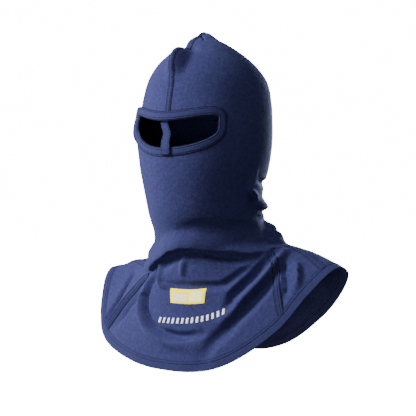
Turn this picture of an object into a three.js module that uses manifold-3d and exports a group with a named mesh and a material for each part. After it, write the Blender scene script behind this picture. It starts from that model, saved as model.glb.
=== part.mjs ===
// Knitted protective hood with an eye opening, a nose strap and a shoulder bib.
// The wearer faces -Y, the wearer's left is +X, and the origin is the inside top of the crown.
import * as THREE from 'three';
import { mergeVertices } from 'three/addons/utils/BufferGeometryUtils.js';
import Module from 'manifold-3d';

const wasm = await Module();
wasm.setup();

// Driving dimensions, millimetres
const hoodDrop = 420;        // inside top of the crown down to the lowest point of the hem
const headBreadth = 161;     // over the ears, outside of the cloth
const headDepth = 188;       // forehead to the back of the head
const neckBreadth = 135;
const neckDepth = 162;
const bibBreadth = 353;      // across the shoulders at the hem
const bibDepth = 184;
const bibSetback = 41;       // how far the bib's middle lies behind the head's
const bibSway = -4;          // the bib has slipped towards the wearer's right
const shoulderLift = 131;    // how much higher the hem lies over the shoulders
const shoulderTilt = 8;      // one shoulder is this much higher than the middle
const clothWall = 1.8;
const foldHeight = 10;       // the unit for the height of folds
const foldReach = 20;        // the unit for the width of folds
const pieceGap = 0.3;        // between neighbouring pieces
const eyeDrop = 131;         // crown to the middle of the eye opening
const eyeSpan = 120;         // between the middles of the binding at both ends
const eyeTall = 43;          // between the middles of the binding, top to bottom
const eyeRise = 13;          // the ends of the opening curve up
const eyeCorner = 4;         // roundness of the opening, 2 is an ellipse
const bindingWidth = 10;
const bindingProud = 1.3;    // binding above the cloth
const bindingDeep = 3.1;     // binding below the outer face
const strapWidth = 12;
const strapWall = 2.2;
const strapEnd = 9;          // how far each end of the strap laps the binding
const strapLean = { top: -6, middle: 0, foot: 4 };   // sideways places along the strap
const crownSeamWidth = 7;
const crownSeamLean = 1.2;   // degrees that the seam stands off the middle of the forehead
const seamWidth = 8;
const seamWall = 1.3;
const hemWidth = 12;
const hemProud = 0.8;
const hemWall = 3.4;
const labelWidth = 50;
const labelTall = 20;
const labelWall = 0.9;
const labelAngle = 3.7;      // degrees round from the middle of the chest
const labelAt = 0.737;       // share of the way down

// Half sizes that the sections are measured in
const girth = {
  head: { x: headBreadth / 2, y: headDepth / 2 },
  neck: { x: neckBreadth / 2, y: neckDepth / 2 },
  bib: { x: bibBreadth / 2, y: bibDepth / 2 },
};

// Level sections from the crown to the hem, as shares of the named sizes.
// The lift, tilt and sway of the bib are only given where they begin.
const sections = [
  { at: 0.00, of: 'head', drop: 0.010, wide: 0.000, deep: 0.000, back: -0.02 },
  { at: 0.02, of: 'head', drop: 0.021, wide: 0.199, deep: 0.213, back: 0.00 },
  { at: 0.05, of: 'head', drop: 0.045, wide: 0.410, deep: 0.457, back: 0.13 },
  { at: 0.09, of: 'head', drop: 0.071, wide: 0.584, deep: 0.638, back: 0.20 },
  { at: 0.13, of: 'head', drop: 0.103, wide: 0.752, deep: 0.792, back: 0.22 },
  { at: 0.17, of: 'head', drop: 0.147, wide: 0.894, deep: 0.915, back: 0.25 },
  { at: 0.22, of: 'head', drop: 0.210, wide: 0.969, deep: 0.979, back: 0.22 },
  { at: 0.27, of: 'head', drop: 0.271, wide: 1.000, deep: 1.000, back: 0.15 },
  { at: 0.33, of: 'head', drop: 0.343, wide: 1.000, deep: 1.000, back: 0.10 },
  { at: 0.38, of: 'head', drop: 0.405, wide: 0.963, deep: 0.963, back: 0.05 },
  { at: 0.44, of: 'head', drop: 0.476, wide: 0.882, deep: 0.894, back: 0.00 },
  { at: 0.50, of: 'neck', drop: 0.543, wide: 1.000, deep: 1.000, back: 0.10 },
  { at: 0.55, of: 'neck', drop: 0.600, wide: 1.037, deep: 1.000, back: 0.44 },
  { at: 0.60, of: 'neck', drop: 0.65, wide: 1.17, deep: 1.02, back: 0.76, lift: 0.08, tilt: 0.75, sway: 0.2 },
  { at: 0.66, of: 'bib', drop: 0.710, wide: 0.53, deep: 0.94, back: 0.90, lift: 0.21, tilt: 1.00, sway: 0.6 },
  { at: 0.74, of: 'bib', drop: 0.783, wide: 0.66, deep: 0.96, back: 0.98, lift: 0.41, tilt: 1.00, sway: 1.0 },
  { at: 0.83, of: 'bib', drop: 0.860, wide: 0.79, deep: 0.98, back: 1.00, lift: 0.63, tilt: 0.75, sway: 1.0 },
  { at: 0.92, of: 'bib', drop: 0.933, wide: 0.91, deep: 0.99, back: 1.00, lift: 0.82, tilt: 0.40, sway: 1.0 },
  { at: 1.00, of: 'bib', drop: 1.000, wide: 1.00, deep: 1.00, back: 1.00, lift: 1.00, tilt: 0.00, sway: 1.0 },
];

// How far the bib rides up over the shoulders at each angle, as a share of the lift
const shoulders = [
  { angle: -180, lift: 0.03 }, { angle: -150, lift: 0.17 }, { angle: -134, lift: 0.40 },
  { angle: -118, lift: 0.68 }, { angle: -100, lift: 0.88 }, { angle: -88, lift: 0.80 },
  { angle: -74, lift: 0.48 }, { angle: -62, lift: 0.27 }, { angle: -34, lift: 0.08 },
  { angle: -10, lift: 0.00 }, { angle: 16, lift: 0.06 }, { angle: 42, lift: 0.42 },
  { angle: 58, lift: 0.76 }, { angle: 74, lift: 0.97 }, { angle: 90, lift: 0.98 },
  { angle: 114, lift: 0.80 }, { angle: 140, lift: 0.43 }, { angle: 162, lift: 0.12 },
];

// Seams of the two gussets: the angle of each seam at a share of the way down
const seams = [
  { at: 0.66, rightRear: -74, rightFront: -28, leftFront: 66, leftRear: 81 },
  { at: 0.72, rightRear: -84, rightFront: -37, leftFront: 63, leftRear: 79.5 },
  { at: 0.79, rightRear: -93, rightFront: -44, leftFront: 57, leftRear: 77.5 },
  { at: 0.86, rightRear: -99, rightFront: -48.5, leftFront: 51, leftRear: 75 },
  { at: 0.93, rightRear: -103, rightFront: -51.5, leftFront: 47.5, leftRear: 73 },
  { at: 1.00, rightRear: -106, rightFront: -54, leftFront: 46, leftRear: 72 },
];
const gussetTop = { left: 0.70, right: 0.66 };

// Folds and dents: the height and the width to each side of the line, as shares of the fold units.
// Going along the line on the outside of the cloth, "left" and "right" are the two sides of it.
const folds = [
  {
    name: 'crown_peak', high: 0.60, left: 0.80, right: 0.80,
    line: [[0, 0.012], [180, 0.000], [180, 0.050], [180, 0.110]],
  },
  {
    name: 'front_peak', high: 1.35, left: 0.75, right: 0.70,
    line: [[1.2, 0.210], [1.2, 0.150], [1, 0.115], [0, 0.085]],
  },
  {
    name: 'crown_valley', high: -0.80, left: 0.80, right: 0.80,
    line: [[-120, 0.040], [-80, 0.042], [-45, 0.042], [-10, 0.055], [32, 0.068]],
  },
  {
    name: 'ear_buckle', high: 0.40, left: 0.50, right: 0.50,
    line: [[87, 0.385], [83, 0.434], [98, 0.452]],
  },
  {
    name: 'nape_notch', high: -0.50, left: 0.55, right: 0.45,
    line: [[94, 0.412], [112, 0.420], [135, 0.415]],
  },
  {
    name: 'nape_roll', high: 1.00, left: 0.55, right: 0.55,
    line: [[98, 0.474], [122, 0.476], [150, 0.480], [178, 0.470]],
  },
  {
    name: 'nape_crease', high: -0.25, left: 0.45, right: 0.45,
    line: [[92, 0.490], [122, 0.505], [150, 0.510]],
  },
  {
    name: 'collar_roll', high: 1.30, left: 0.80, right: 0.85,
    line: [
      [232, 0.575], [205, 0.560], [178, 0.552], [150, 0.549], [122, 0.549], [106, 0.577],
      [92, 0.627],
    ],
  },
  {
    name: 'collar_knot', high: 0.60, left: 0.55, right: 0.55,
    line: [[112, 0.608], [100, 0.618], [88, 0.640]],
  },
  {
    name: 'chin_tuck', high: -0.40, left: 0.60, right: 0.70,
    line: [[-10, 0.524], [17, 0.521], [40, 0.524], [63, 0.524], [88, 0.530]],
  },
  {
    name: 'neck_roll', high: 0.80, left: 0.85, right: 0.50,
    line: [
      [-92, 0.640], [-66, 0.645], [-46, 0.640], [-31, 0.610], [-12, 0.576], [3, 0.566],
      [15, 0.568], [29, 0.585], [43, 0.610], [54, 0.655], [66, 0.690],
    ],
  },
  {
    name: 'side_roll', high: 0.60, left: 0.60, right: 0.45,
    line: [[-115, 0.615], [-85, 0.625], [-55, 0.635], [-34, 0.625]],
  },
  {
    name: 'roll_recess', high: -0.50, left: 0.45, right: 0.70,
    line: [[-24, 0.650], [-10, 0.615], [3, 0.602], [16, 0.602], [30, 0.622], [44, 0.655], [56, 0.695]],
  },
  {
    name: 'throat_ridge', high: 0.30, left: 0.45, right: 0.50,
    line: [[2, 0.590], [1, 0.640], [0.5, 0.672]],
  },
  {
    name: 'loop_ridge', high: 0.35, left: 0.45, right: 0.45,
    line: [[-27, 0.628], [-22, 0.670], [-18, 0.698], [-12, 0.704]],
  },
  {
    name: 'chest_crease', high: -0.30, left: 0.50, right: 0.50,
    line: [[-16, 0.697], [0, 0.702], [17, 0.714], [28, 0.733], [41, 0.720], [57, 0.712]],
  },
  {
    name: 'sash_groove', high: -0.70, left: 0.65, right: 0.60,
    line: [[66, 0.728], [56, 0.740], [49, 0.749], [38.5, 0.764], [31, 0.782], [26, 0.820]],
  },
  {
    name: 'sash_ridge', high: 0.65, left: 0.65, right: 0.65,
    line: [[74, 0.745], [66, 0.760], [52, 0.790], [43, 0.800], [35.5, 0.812], [22, 0.850]],
  },
  {
    name: 'lower_groove', high: -0.45, left: 0.75, right: 0.80,
    line: [[60, 0.805], [52, 0.818], [42, 0.835], [30, 0.866], [16, 0.911], [10, 0.960]],
  },
  {
    name: 'loop_groove', high: -0.55, left: 0.60, right: 0.55,
    line: [
      [-27, 0.669], [-32, 0.706], [-30, 0.750], [-24.5, 0.792], [-16, 0.834], [-7, 0.858],
      [3, 0.869], [12, 0.864],
    ],
  },
  {
    name: 'loop_swell', high: 0.45, left: 0.65, right: 0.70,
    line: [[-32, 0.675], [-37, 0.749], [-31, 0.810], [-20.5, 0.865], [-8, 0.902], [6, 0.912]],
  },
  {
    name: 'gusset_groove', high: -0.55, left: 0.65, right: 0.65,
    line: [[-86, 0.790], [-77, 0.829], [-70, 0.865], [-63, 0.917], [-60, 0.960]],
  },
  {
    name: 'gusset_ridge', high: 0.40, left: 0.55, right: 0.55,
    line: [[66, 0.840], [64, 0.865], [60, 0.907], [56, 0.945]],
  },
  {
    name: 'gusset_dent', high: -0.30, left: 0.50, right: 0.50,
    line: [[62, 0.800], [58, 0.840], [54, 0.899], [51, 0.930]],
  },
  {
    name: 'back_sag', high: -0.40, left: 0.70, right: 0.80,
    line: [[215, 0.640], [180, 0.628], [145, 0.640]],
  },
  {
    name: 'back_swell', high: 0.40, left: 0.80, right: 0.90,
    line: [[225, 0.720], [196, 0.690], [164, 0.690], [135, 0.730]],
  },
];

// Grid columns of the faceted cloth: how many lie after each line on the head, closest over the folds
const panels = [
  { line: 'rightRear', angle: -82, columns: 6 },
  { line: 'rightFront', angle: -38, columns: 7 },
  { line: 'front', angle: crownSeamLean, columns: 10 },
  { line: 'leftFront', angle: 60, columns: 4 },
  { line: 'leftRear', angle: 77, columns: 12 },
  { line: 'back', angle: 180, columns: 9 },
];
const rowBands = [
  { from: 0.00, to: 0.13, rows: 6 },
  { from: 0.13, to: 0.38, rows: 6 },
  { from: 0.38, to: 0.54, rows: 8 },
  { from: 0.54, to: 0.74, rows: 10 },
  { from: 0.74, to: 1.00, rows: 8 },
];
const seamsFrom = 0.5;       // below this share the columns lean over to the gusset seams

const radians = THREE.MathUtils.degToRad;
const vec = (x, y, z) => new THREE.Vector3(x, y, z);
const clamp = THREE.MathUtils.clamp;

// Smooth curve through a table of places and values
function curveThrough(places, values) {
  const slopes = values.map((value, k) => {
    const before = Math.max(k - 1, 0);
    const after = Math.min(k + 1, values.length - 1);
    return (values[after] - values[before]) / (places[after] - places[before]);
  });
  return (place) => {
    const x = clamp(place, places[0], places[places.length - 1]);
    let k = 0;
    while (k < places.length - 2 && x > places[k + 1]) k += 1;
    const span = places[k + 1] - places[k];
    const t = (x - places[k]) / span;
    const rise = 3 * t * t - 2 * t * t * t;
    const leave = (t * t * t - 2 * t * t + t) * span;
    const arrive = (t * t * t - t * t) * span;
    return values[k] * (1 - rise) + values[k + 1] * rise + slopes[k] * leave + slopes[k + 1] * arrive;
  };
}

const places = sections.map((row) => row.at);
const column = (value) => curveThrough(places, sections.map(value));
const levelAt = column((row) => -row.drop * hoodDrop);
const wideAt = column((row) => row.wide * girth[row.of].x);
const deepAt = column((row) => row.deep * girth[row.of].y);
const backAt = column((row) => row.back * bibSetback);
const liftAt = column(({ lift = 0 }) => lift * shoulderLift);
const tiltAt = column(({ tilt = 0 }) => tilt * shoulderTilt);
const swayAt = column(({ sway = 0 }) => sway * bibSway);

// The shoulder table runs round in a ring, so it is read with one turn before and after it
const turns = [-360, 0, 360];
const ringAngles = turns.flatMap((turn) => shoulders.map((row) => row.angle + turn));
const ringLifts = turns.flatMap(() => shoulders.map((row) => row.lift));
const shoulderAt = curveThrough(ringAngles, ringLifts);
const sameTurn = (angle) => ((angle + 180) % 360 + 360) % 360 - 180;

// The plain form before folds: angle 0 is the front, a share of 0 is the crown and 1 the hem
function plainForm(angle, at) {
  const turn = radians(angle);
  const x = wideAt(at) * Math.sin(turn) + swayAt(at);
  const y = backAt(at) - deepAt(at) * Math.cos(turn);
  const z = levelAt(at) + liftAt(at) * shoulderAt(sameTurn(angle)) + tiltAt(at) * Math.sin(turn);
  return vec(x, y, z);
}

const probeAngle = 1;
const probeAt = 0.004;
const poleAt = 0.002;

// Outward direction of a form at a place, read a little off the pole where the columns meet
function outward(form, angle, at) {
  const level = clamp(at, poleAt, 1);
  const along = form(angle + probeAngle, level).sub(form(angle - probeAngle, level));
  const down = form(angle, Math.min(level + probeAt, 1)).sub(form(angle, Math.max(level - probeAt, 0)));
  return down.cross(along).normalize();
}

// Each fold becomes a line in space on the plain form, with the outward direction along it
const foldSteps = 4;
const foldLines = folds.map((fold) => {
  const points = [];
  const spots = fold.line.map(([angle, at]) => vec(angle, at, 0));
  for (let k = 0; k < spots.length - 1; k += 1) {
    for (let s = 0; s < foldSteps; s += 1) {
      const spot = spots[k].clone().lerp(spots[k + 1], s / foldSteps);
      points.push(plainForm(spot.x, spot.y));
    }
  }
  const end = spots[spots.length - 1];
  points.push(plainForm(end.x, end.y));
  return { ...fold, points };
});

// Height of one fold at a point: a rounded hump across the line that fades at its ends
function foldAt(fold, point, normal) {
  let nearest = Infinity;
  let side = 0;
  let way = 0;
  fold.points.slice(1).forEach((end, k) => {
    const start = fold.points[k];
    const run = end.clone().sub(start);
    const share = clamp(point.clone().sub(start).dot(run) / run.lengthSq(), 0, 1);
    const gap = point.clone().sub(start.clone().addScaledVector(run, share));
    if (gap.length() < nearest) {
      nearest = gap.length();
      side = Math.sign(gap.dot(normal.clone().cross(run)));
      way = (k + share) / (fold.points.length - 1);
    }
  });
  const reach = (side > 0 ? fold.left : fold.right) * foldReach;
  if (nearest >= reach) return 0;
  const hump = 0.5 + 0.5 * Math.cos(Math.PI * nearest / reach);
  const fade = Math.sqrt(Math.sin(Math.PI * clamp(way, 0.02, 0.98)));
  return fold.high * foldHeight * hump * fade;
}

// The draped form: the plain form pushed in or out by the folds
function drapedForm(angle, at) {
  const point = plainForm(angle, at);
  const normal = outward(plainForm, angle, at);
  const push = foldLines.reduce((sum, fold) => sum + foldAt(fold, point, normal), 0);
  return point.addScaledVector(normal, push);
}

// Where the hem band starts, from the slant of the cloth at the front
const nearHem = 0.9;
const hemUnit = plainForm(0, nearHem).distanceTo(plainForm(0, 1)) / (1 - nearHem);
const hemAt = 1 - hemWidth / hemUnit;

function evenSteps(from, to, count) {
  return Array.from({ length: count }, (_, k) => from + (to - from) * k / count);
}

// Grid columns: each has its angle on the head and leans over to the seams further down
const lines = [...panels, { ...panels[0], angle: panels[0].angle + 360 }];
const columns = panels.flatMap((panel, k) => evenSteps(panel.angle, lines[k + 1].angle, panel.columns));
const columnOf = (line) => columns.indexOf(panels.find((panel) => panel.line === line).angle);
const seamCurves = Object.fromEntries(Object.keys(seams[0]).filter((key) => key !== 'at').map((key) => (
  [key, curveThrough(seams.map((row) => row.at), seams.map((row) => row[key]))]
)));
function lineAngles(at) {
  const lean = THREE.MathUtils.smoothstep(at, seamsFrom, seams[0].at);
  const angles = panels.map(({ line, angle }) => (
    seamCurves[line] ? THREE.MathUtils.lerp(angle, seamCurves[line](at), lean) : angle
  ));
  return [...angles, angles[0] + 360];
}
function remap(value, from, to) {
  let k = 0;
  while (k < from.length - 2 && value >= from[k + 1]) k += 1;
  return to[k] + (to[k + 1] - to[k]) * (value - from[k]) / (from[k + 1] - from[k]);
}
const headAngles = lines.map((line) => line.angle);

const levels = rowBands.flatMap((band) => evenSteps(band.from, band.to, band.rows));
while (levels[levels.length - 1] > hemAt - hemWidth / hemUnit / 2) levels.pop();
levels.push(hemAt, 1);
const grid = levels.map((at) => columns.map((column) => {
  const angle = remap(column, headAngles, lineAngles(at));
  return { point: drapedForm(angle, at), normal: outward(drapedForm, angle, at) };
}));
grid[0].forEach((spot) => {
  spot.point = grid[0][0].point.clone();
  spot.normal = vec(0, 0, 1);
});

const between = (a, b, share) => ({
  point: a.point.clone().lerp(b.point, share),
  normal: a.normal.clone().lerp(b.normal, share).normalize(),
});

// A place on the faceted cloth, between four corners of the grid
function onCloth(angle, at) {
  let i = 0;
  while (i < levels.length - 2 && at > levels[i + 1]) i += 1;
  const down = clamp((at - levels[i]) / (levels[i + 1] - levels[i]), 0, 1);
  const actual = lineAngles(at);
  const turned = ((angle - actual[0]) % 360 + 360) % 360 + actual[0];
  const column = remap(turned, actual, headAngles);
  let j = 0;
  while (j < columns.length - 1 && column >= columns[j + 1]) j += 1;
  const next = (j + 1) % columns.length;
  const after = next > 0 ? columns[next] : columns[0] + 360;
  const across = (column - columns[j]) / (after - columns[j]);
  const upper = between(grid[i][j], grid[i][next], across);
  const lower = between(grid[i + 1][j], grid[i + 1][next], across);
  return between(upper, lower, down);
}

// A closed solid from triangles given as three points each
function solidFrom(triangles) {
  const geometry = new THREE.BufferGeometry();
  const numbers = triangles.flatMap((corners) => corners.flatMap((p) => [p.x, p.y, p.z]));
  geometry.setAttribute('position', new THREE.Float32BufferAttribute(numbers, 3));
  const merged = mergeVertices(geometry, 1e-4);
  const index = merged.index.array;
  const kept = [];
  for (let k = 0; k < index.length; k += 3) {
    const [a, b, c] = [index[k], index[k + 1], index[k + 2]];
    if (a !== b && b !== c && c !== a) kept.push(a, b, c);
  }
  const vertProperties = new Float32Array(merged.attributes.position.array);
  const mesh = new wasm.Mesh({ numProp: 3, vertProperties, triVerts: new Uint32Array(kept) });
  return new wasm.Manifold(mesh);
}

const quad = (a, b, c, d) => [[a, b, c], [a, c, d]];

// A sheet between an outer and an inner face over rows and columns of spots.
// A ring joins its last column to its first; cells that are not kept are left open.
function sheetSolid(rows, outer, inner, ring = false, kept = () => true) {
  const lift = (spot, by) => spot.point.clone().addScaledVector(spot.normal, by);
  const top = rows.map((row) => row.map((spot) => lift(spot, outer)));
  const under = rows.map((row) => row.map((spot) => lift(spot, inner)));
  const count = rows[0].length;
  const across = ring ? count : count - 1;
  const holds = (i, j) => {
    const column = ring ? (j + count) % count : j;
    return i >= 0 && i < rows.length - 1 && column >= 0 && column < across && kept(i, column);
  };
  const triangles = [];
  for (let i = 0; i < rows.length - 1; i += 1) {
    for (let j = 0; j < across; j += 1) {
      if (holds(i, j)) {
        const n = (j + 1) % count;
        const [a, b, c, d] = [top[i][j], top[i][n], top[i + 1][n], top[i + 1][j]];
        const [e, f, g, h] = [under[i][j], under[i][n], under[i + 1][n], under[i + 1][j]];
        triangles.push(...quad(a, d, c, b), ...quad(f, g, h, e));
        if (!holds(i + 1, j)) triangles.push(...quad(d, h, g, c));
        if (!holds(i - 1, j)) triangles.push(...quad(a, b, f, e));
        if (!holds(i, j - 1)) triangles.push(...quad(e, h, d, a));
        if (!holds(i, j + 1)) triangles.push(...quad(f, b, c, g));
      }
    }
  }
  return solidFrom(triangles);
}

// A spot moved along the cloth, with its direction kept
const slide = (spot, way, by) => (
  { point: spot.point.clone().addScaledVector(way, by), normal: spot.normal }
);

// Gussets: the cells between the front and the rear seam, below the top of the gusset
const hemRow = levels.indexOf(hemAt);
const gussets = {
  left: { from: columnOf('leftFront'), to: columnOf('leftRear') },
  right: { from: columnOf('rightRear'), to: columnOf('rightFront') },
};
Object.entries(gussets).forEach(([side, gusset]) => {
  gusset.row = levels.findIndex((at) => at > gussetTop[side] - hemWidth / hemUnit / 4);
});
const inGusset = ({ row, from, to }, i, j) => i >= row && j >= from && j < to;
const along = (i, j, step) => {
  const next = grid[i][(j + step + columns.length) % columns.length];
  return next.point.clone().sub(grid[i][j].point).normalize();
};

// The grid above the hem with the edges of a gusset's cut moved towards the gusset or away from it
function clothRows(way) {
  return grid.slice(0, hemRow + 1).map((row, i) => row.map((spot, j) => {
    const edge = Object.values(gussets).find((g) => i >= g.row && (j === g.from || j === g.to));
    if (!edge) return spot;
    return slide(spot, along(i, j, j === edge.from ? 1 : -1), way * pieceGap / 2);
  }));
}

// One knitted body round the head, neck and shoulders
function hoodBody() {
  const open = (i, j) => !Object.values(gussets).some((gusset) => inGusset(gusset, i, j));
  return sheetSolid(clothRows(-1), 0, -clothWall, true, open).subtract(eyePlug());
}

// One gusset, a little shorter at its top than the cut it fills
function gussetPiece(gusset) {
  const rows = clothRows(1);
  rows[gusset.row] = rows[gusset.row].map((spot, j) => (
    between(spot, rows[gusset.row + 1][j], pieceGap / spot.point.distanceTo(rows[gusset.row + 1][j].point))
  ));
  return sheetSolid(rows, 0, -clothWall, true, (i, j) => inGusset(gusset, i, j));
}

// Hem band, thicker than the cloth because the edge is turned up
function hemBand() {
  const edge = grid[hemRow + 1];
  const top = grid[hemRow].map((spot, j) => (
    between(spot, edge[j], pieceGap / spot.point.distanceTo(edge[j].point))
  ));
  return sheetSolid([top, edge], hemProud, hemProud - hemWall, true);
}

// The space that pieces lying on the cloth keep clear of
const bedding = 1.2;
const clearance = sheetSolid(grid, pieceGap, -2 * bedding, true);

// A flat piece laid on the cloth; crumbs that the cut leaves in a tight fold are dropped
function layOn(spots, wall) {
  const laid = sheetSolid(spots, pieceGap + wall, -bedding).subtract(clearance);
  return laid.decompose().reduce((most, part) => (part.volume() > most.volume() ? part : most));
}

// Rows of spots for a band that lies on the cloth along a column of the grid
function bandOver(rows, column, width) {
  return rows.map((i) => {
    const spot = grid[i][column];
    const beside = [-1, 1].map((step) => {
      const next = grid[i][(column + step + columns.length) % columns.length];
      return between(spot, next, Math.min(width / 2 / spot.point.distanceTo(next.point), 1));
    });
    return [beside[0], spot, beside[1]];
  });
}

// Band over a gusset's seam
function seamBand(gusset, column) {
  const rows = levels.map((_, i) => i).slice(gusset.row, hemRow + 1);
  return layOn(bandOver(rows, column, seamWidth), seamWall);
}

// Eye opening: a rounded outline on the face, as places on the cloth with the direction out of it
const eyeSteps = 40;
const shareAtLevel = curveThrough(levels.map((at) => -levelAt(at)), levels);
const squareness = (turn) => (
  (Math.abs(Math.cos(turn)) ** eyeCorner + Math.abs(Math.sin(turn)) ** eyeCorner) ** (1 / eyeCorner)
);
const eyeLine = Array.from({ length: eyeSteps }, (_, k) => {
  const turn = 2 * Math.PI * k / eyeSteps;
  const x = eyeSpan / 2 * Math.cos(turn) / squareness(turn);
  const rise = eyeRise * (2 * x / eyeSpan) ** 2;
  const at = shareAtLevel(eyeDrop - rise - eyeTall / 2 * Math.sin(turn) / squareness(turn));
  const angle = THREE.MathUtils.radToDeg(Math.asin(x / wideAt(at)));
  return onCloth(angle, at);
});
const eyeSpots = eyeLine.map((spot, k) => {
  const next = eyeLine[(k + 1) % eyeSteps].point;
  const before = eyeLine[(k + eyeSteps - 1) % eyeSteps].point;
  return { ...spot, side: next.clone().sub(before).cross(spot.normal).normalize() };
});

// Binding round the eye opening: a band that takes the place of the cloth's edge
function eyeBinding() {
  const half = bindingWidth / 2;
  const round = bindingProud / 2;
  const section = [
    [-half, -bindingDeep + round], [-half, 0],
    [-half + 2 * round, bindingProud], [half - 2 * round, bindingProud],
    [half, 0], [half, -bindingDeep + round],
    [half - round, -bindingDeep], [-half + round, -bindingDeep],
  ];
  const triangles = [];
  const corner = (spot, [out, up]) => slide(spot, spot.side, out).point.addScaledVector(spot.normal, up);
  eyeSpots.forEach((spot, k) => {
    const next = eyeSpots[(k + 1) % eyeSteps];
    section.forEach((edge, m) => {
      const after = section[(m + 1) % section.length];
      const here = [corner(spot, edge), corner(spot, after)];
      triangles.push(...quad(...here, corner(next, after), corner(next, edge)));
    });
  });
  return solidFrom(triangles);
}

// Plug through the cloth that opens it for the binding
const plugReach = 14;
const plugRoom = 0.5;        // between the binding and the edge of the cut
function eyePlug() {
  const rim = eyeSpots.map((spot) => slide(spot, spot.side, bindingWidth / 2 + plugRoom));
  const middle = onCloth(0, shareAtLevel(eyeDrop));
  const front = rim.map((spot) => spot.point.clone().addScaledVector(spot.normal, plugReach));
  const rear = rim.map((spot) => spot.point.clone().addScaledVector(spot.normal, -plugReach));
  const frontMiddle = middle.point.clone().addScaledVector(middle.normal, plugReach);
  const rearMiddle = middle.point.clone().addScaledVector(middle.normal, -plugReach);
  const triangles = [];
  rim.forEach((_, k) => {
    const n = (k + 1) % eyeSteps;
    triangles.push([frontMiddle, front[k], front[n]], [rearMiddle, rear[n], rear[k]]);
    triangles.push(...quad(rear[k], rear[n], front[n], front[k]));
  });
  return solidFrom(triangles);
}

// Seam from the eye binding over the crown and down the back to the hem
function crownSeam() {
  const start = shareAtLevel(eyeDrop - eyeTall / 2);
  const lastFront = levels.findIndex((at) => at > start);
  const rows = levels.map((_, i) => i);
  const front = bandOver(rows.slice(1, lastFront + 1).reverse(), columnOf('front'), crownSeamWidth);
  const back = bandOver(rows.slice(1, hemRow + 1), columnOf('back'), crownSeamWidth);
  const poleShare = levels[1] * crownSeamWidth / 2 / wideAt(levels[1]);
  const pole = [onCloth(90, poleShare), grid[0][0], onCloth(-90, poleShare)];
  return layOn([...front.map((row) => row.reverse()), pole, ...back], seamWall).subtract(eyePlug());
}

// Strap over the nose: its top end lies behind the upper binding, its foot on the lower one
const strapClear = 1.5;
const strapSeat = 2;         // room behind the curved binding
const strapSteps = 6;
function noseStrap() {
  const upper = eyeSpots[eyeSteps / 4];
  const lower = eyeSpots[3 * eyeSteps / 4];
  const middle = onCloth(0, shareAtLevel(eyeDrop));
  const edge = -bindingWidth / 2;
  const behind = -bindingDeep - strapSeat - strapWall / 2;
  const before = bindingProud + pieceGap + strapWall / 2;
  const place = (spot, lean, out, up) => (
    slide(spot, spot.side, out).point.addScaledVector(spot.normal, up).add(vec(lean, 0, 0))
  );
  const stops = [
    place(upper, strapLean.top, edge + strapEnd, behind),
    place(upper, strapLean.top, edge - strapClear, behind),
    middle.point.clone().add(vec(strapLean.middle, 0, 0)),
    place(lower, strapLean.foot, edge - strapClear, before),
    place(lower, strapLean.foot, edge + strapEnd, before),
  ];
  const path = new THREE.CatmullRomCurve3([stops[1], stops[2], stops[3]]);
  const points = [stops[0], ...path.getPoints(strapSteps), stops[4]];
  const rows = points.map((point, k) => {
    const next = points[Math.min(k + 1, points.length - 1)];
    const last = points[Math.max(k - 1, 0)];
    const normal = next.clone().sub(last).cross(vec(1, 0, 0)).normalize();
    return [-0.5, 0.5].map((over) => (
      { point: point.clone().add(vec(over * strapWidth, 0, 0)), normal }
    ));
  });
  return sheetSolid(rows, strapWall / 2, -strapWall / 2);
}

// Woven label on the chest, left blank
function label() {
  const degree = wideAt(labelAt) * radians(1);
  const rows = [-0.5, 0, 0.5].map((down) => [-0.5, -0.25, 0, 0.25, 0.5].map((over) => (
    onCloth(labelAngle + over * labelWidth / degree, labelAt + down * labelTall / hemUnit)
  )));
  return layOn(rows, labelWall);
}

// Finishes
const knit = (colour) => new THREE.MeshStandardMaterial({ color: colour, roughness: 0.95, metalness: 0 });
const finishes = {
  body: knit(0x39446f),
  gusset: knit(0x364069),
  seam: knit(0x303a60),
  binding: knit(0x2b3353),
  label: new THREE.MeshStandardMaterial({ color: 0xf2e39a, roughness: 0.7, metalness: 0 }),
};

// A named mesh from a finished solid
function piece(name, solid, finish) {
  const made = solid.getMesh();
  const geometry = new THREE.BufferGeometry();
  const corners = Float32Array.from({ length: made.numVert * 3 }, (_, k) => (
    made.vertProperties[Math.floor(k / 3) * made.numProp + k % 3]
  ));
  geometry.setAttribute('position', new THREE.BufferAttribute(corners, 3));
  geometry.setIndex(Array.from(made.triVerts));
  geometry.computeVertexNormals();
  const mesh = new THREE.Mesh(geometry, finish);
  mesh.name = name;
  return mesh;
}

const hood = new THREE.Group();
hood.add(
  piece('hood_body', hoodBody(), finishes.body),
  piece('gusset_left', gussetPiece(gussets.left), finishes.gusset),
  piece('gusset_right', gussetPiece(gussets.right), finishes.gusset),
  piece('crown_seam', crownSeam(), finishes.seam),
  piece('eye_binding', eyeBinding(), finishes.binding),
  piece('nose_strap', noseStrap(), finishes.binding),
  piece('seam_left_front', seamBand(gussets.left, gussets.left.from), finishes.seam),
  piece('seam_left_rear', seamBand(gussets.left, gussets.left.to), finishes.seam),
  piece('seam_right_front', seamBand(gussets.right, gussets.right.to), finishes.seam),
  piece('seam_right_rear', seamBand(gussets.right, gussets.right.from), finishes.seam),
  piece('hem_binding', hemBand(), finishes.binding),
  piece('label_patch', label(), finishes.label),
);
export default hood;
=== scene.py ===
import math
import bpy
import bmesh
import numpy as np
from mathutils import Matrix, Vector, noise
from mathutils.bvhtree import BVHTree


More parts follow.
